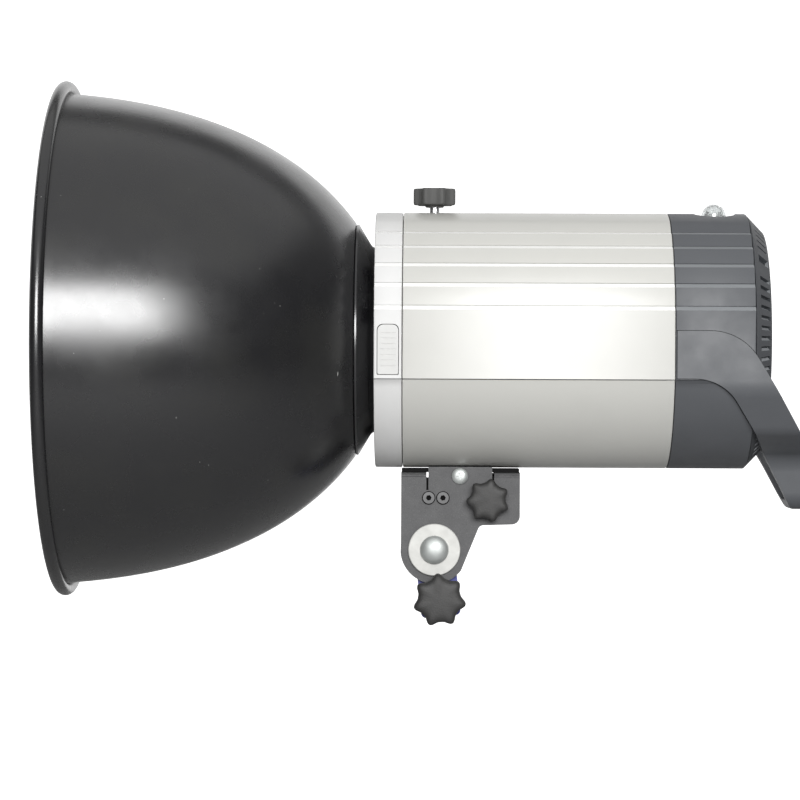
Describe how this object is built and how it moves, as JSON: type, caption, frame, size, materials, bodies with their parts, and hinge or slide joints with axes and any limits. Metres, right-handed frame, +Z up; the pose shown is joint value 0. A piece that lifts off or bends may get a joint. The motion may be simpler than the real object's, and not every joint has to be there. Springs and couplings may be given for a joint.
{
  "type": "monolight strobe",
  "caption": "Studio flash head: round stepped casing with deep dish reflector, rear controls and carry handle, tilting on a stand bracket with a clamp socket.",
  "frame": {"origin": "centre of the stand socket's mouth, in the receiver's bottom face", "axes": "+Z up, the light points along -X, and +Y is the far side from the pan-head screw; the receiver's axis leans 6.2 degrees from +Z towards -X"},
  "size_m": [0.4674, 0.3126, 0.329],
  "materials": {
    "black_paint": "satin black paint",
    "grey_paint": "fine-textured light grey paint",
    "grey_plastic": "light grey moulded plastic",
    "silver_paint": "silver-white paint",
    "slate_plastic": "dark blue-grey moulded plastic",
    "dark_plastic": "near-black plastic",
    "clear_plastic": "clear moulded lens",
    "knob_plastic": "black-brown moulded plastic",
    "steel": "plain steel",
    "brass": "turned brass",
    "bracket_paint": "grained dark grey powder coat",
    "aluminium": "plain aluminium",
    "zinc": "bright zinc plate",
    "black_steel": "black oxide",
    "ceramic": "off-white ceramic",
    "glass": "clear glass",
    "sleeve": "printed can sleeve, no lettering",
    "black_anodised": "black anodised",
    "winding": "varnished winding",
    "board": "green circuit board",
    "panel_black": "black panel",
    "button_plastic": "grey buttons",
    "red_plastic": "dark red window",
    "blue_paint": "blue painted casting",
    "fibre": "pressed fibre"
  },
  "bodies": {
    "stand_mount": {"stand_receiver": "blue_paint", "friction_disc_near": "fibre", "friction_disc_far": "fibre"},
    "head": {"front_ring": "grey_paint", "upper_shell": "silver_paint", "lower_shell": "silver_paint", "rear_housing": "slate_plastic", "vent_ring": "dark_plastic", "carry_handle": "slate_plastic", "photocell_cup": "slate_plastic", "photocell_dome": "clear_plastic", "photocell_sensor": "dark_plastic", "tilt_bracket": "bracket_paint", "umbrella_block": "black_anodised", "pan_screw": "zinc", "socket_screw_front": "black_steel", "socket_screw_rear": "black_steel", "pivot_washer_near": "zinc", "pivot_washer_far": "zinc", "pivot_bolt": "zinc", "front_plate": "aluminium", "lamp_socket": "ceramic", "modelling_lamp": "glass", "glass_dome": "glass", "flash_tube": "glass", "chassis_plate": "aluminium", "capacitor_near": "sleeve", "capacitor_far": "sleeve", "charging_choke": "winding", "power_board": "board", "ignition_coil": "ceramic", "control_board": "board", "fan_frame": "dark_plastic", "control_panel": "panel_black", "display_window": "red_plastic", "sync_socket": "steel", "fuse_holder": "dark_plastic", "mains_inlet": "dark_plastic", "inlet_contacts": "steel", "switch_body": "dark_plastic"},
    "stand_pad": {"stand_pad": "brass"},
    "stand_knob": {"stand_knob": "knob_plastic", "stand_stud": "steel"},
    "tilt_lever": {"tilt_lever": "knob_plastic"},
    "umbrella_pad": {"umbrella_pad": "brass"},
    "umbrella_knob": {"umbrella_knob": "knob_plastic", "umbrella_stud": "steel"},
    "top_pad": {"top_pad": "brass"},
    "top_knob": {"top_knob": "knob_plastic", "top_stud": "steel"},
    "reflector": {"reflector_bowl": "black_paint", "reflector_neck": "black_paint"},
    "latch_button": {"latch_button": "grey_plastic"},
    "test_button": {"test_button": "button_plastic"},
    "model_button": {"model_button": "button_plastic"},
    "cell_button": {"cell_button": "button_plastic"},
    "power_dial": {"power_dial": "knob_plastic"},
    "power_rocker": {"power_rocker": "knob_plastic"},
    "fuse_cap": {"fuse_cap": "knob_plastic"},
    "fan_rotor": {"fan_rotor": "dark_plastic"}
  },
  "joints": [
    {"name": "head_tilt", "type": "hinge", "parent": "stand_mount", "child": "head", "pos_m": [-0.00443, 0, 0.04076], "axis": [0, 1, 0], "range_deg": [-60, 75]},
    {"name": "tilt_lock_turn", "type": "hinge", "parent": "head", "child": "tilt_lever", "pos_m": [-0.00443, 0, 0.04076], "axis": [0, 1, 0], "range_deg": [0, 60]},
    {"name": "stand_clamp_travel", "type": "slide", "parent": "stand_mount", "child": "stand_pad", "axis": [0, -1, 0], "range_m": [-0.0013, 0.0026]},
    {"name": "stand_clamp_turn", "type": "hinge", "parent": "stand_pad", "child": "stand_knob", "pos_m": [-0.00119, -0.02, 0.01094], "axis": [0, -1, 0], "range_deg": [-360, 720]},
    {"name": "umbrella_clamp_travel", "type": "slide", "parent": "head", "child": "umbrella_pad", "axis": [0, -1, 0], "range_m": [-0.00105, 0.00205]},
    {"name": "umbrella_clamp_turn", "type": "hinge", "parent": "umbrella_pad", "child": "umbrella_knob", "pos_m": [0.02777, -0.018, 0.07096], "axis": [0, -1, 0], "range_deg": [-360, 720]},
    {"name": "top_clamp_travel", "type": "slide", "parent": "head", "child": "top_pad", "axis": [0, 0, 1], "range_m": [-0.00105, 0.00205]},
    {"name": "top_clamp_turn", "type": "hinge", "parent": "top_pad", "child": "top_knob", "pos_m": [-0.00513, 0, 0.24866], "axis": [0, 0, 1], "range_deg": [-360, 720]},
    {"name": "reflector_twist", "type": "hinge", "parent": "head", "child": "reflector", "pos_m": [-0.04053, 0, 0.16776], "axis": [-1, 0, 0], "range_deg": [0, 30]},
    {"name": "latch_press", "type": "slide", "parent": "head", "child": "latch_button", "axis": [0, 1, 0], "range_m": [0, 0.003], "stiffness_N_per_m": 500},
    {"name": "test_button_press", "type": "slide", "parent": "head", "child": "test_button", "axis": [-1, 0, 0], "range_m": [0, 0.0015], "stiffness_N_per_m": 500},
    {"name": "model_button_press", "type": "slide", "parent": "head", "child": "model_button", "axis": [-1, 0, 0], "range_m": [0, 0.0015], "stiffness_N_per_m": 500},
    {"name": "cell_button_press", "type": "slide", "parent": "head", "child": "cell_button", "axis": [-1, 0, 0], "range_m": [0, 0.0015], "stiffness_N_per_m": 500},
    {"name": "power_dial_turn", "type": "hinge", "parent": "head", "child": "power_dial", "pos_m": [0.18657, 0, 0.16976], "axis": [1, 0, 0], "range_deg": [-140, 140]},
    {"name": "power_switch_rock", "type": "hinge", "parent": "head", "child": "power_rocker", "pos_m": [0.18257, -0.01, 0.12976], "axis": [0, 1, 0], "range_deg": [0, 14]},
    {"name": "fuse_cap_turn", "type": "hinge", "parent": "head", "child": "fuse_cap", "pos_m": [0.18657, -0.034, 0.13476], "axis": [1, 0, 0], "range_deg": [0, 90]},
    {"name": "fan_spin", "type": "hinge", "parent": "head", "child": "fan_rotor", "pos_m": [0.12287, 0, 0.16776], "axis": [1, 0, 0], "continuous": true}
  ],
  "couplings": [
    {"joint": "stand_clamp_travel", "follows": "stand_clamp_turn", "m_per_rad": 0.00019894},
    {"joint": "umbrella_clamp_travel", "follows": "umbrella_clamp_turn", "m_per_rad": 0.00015915},
    {"joint": "top_clamp_travel", "follows": "top_clamp_turn", "m_per_rad": 0.00015915}
  ]
}
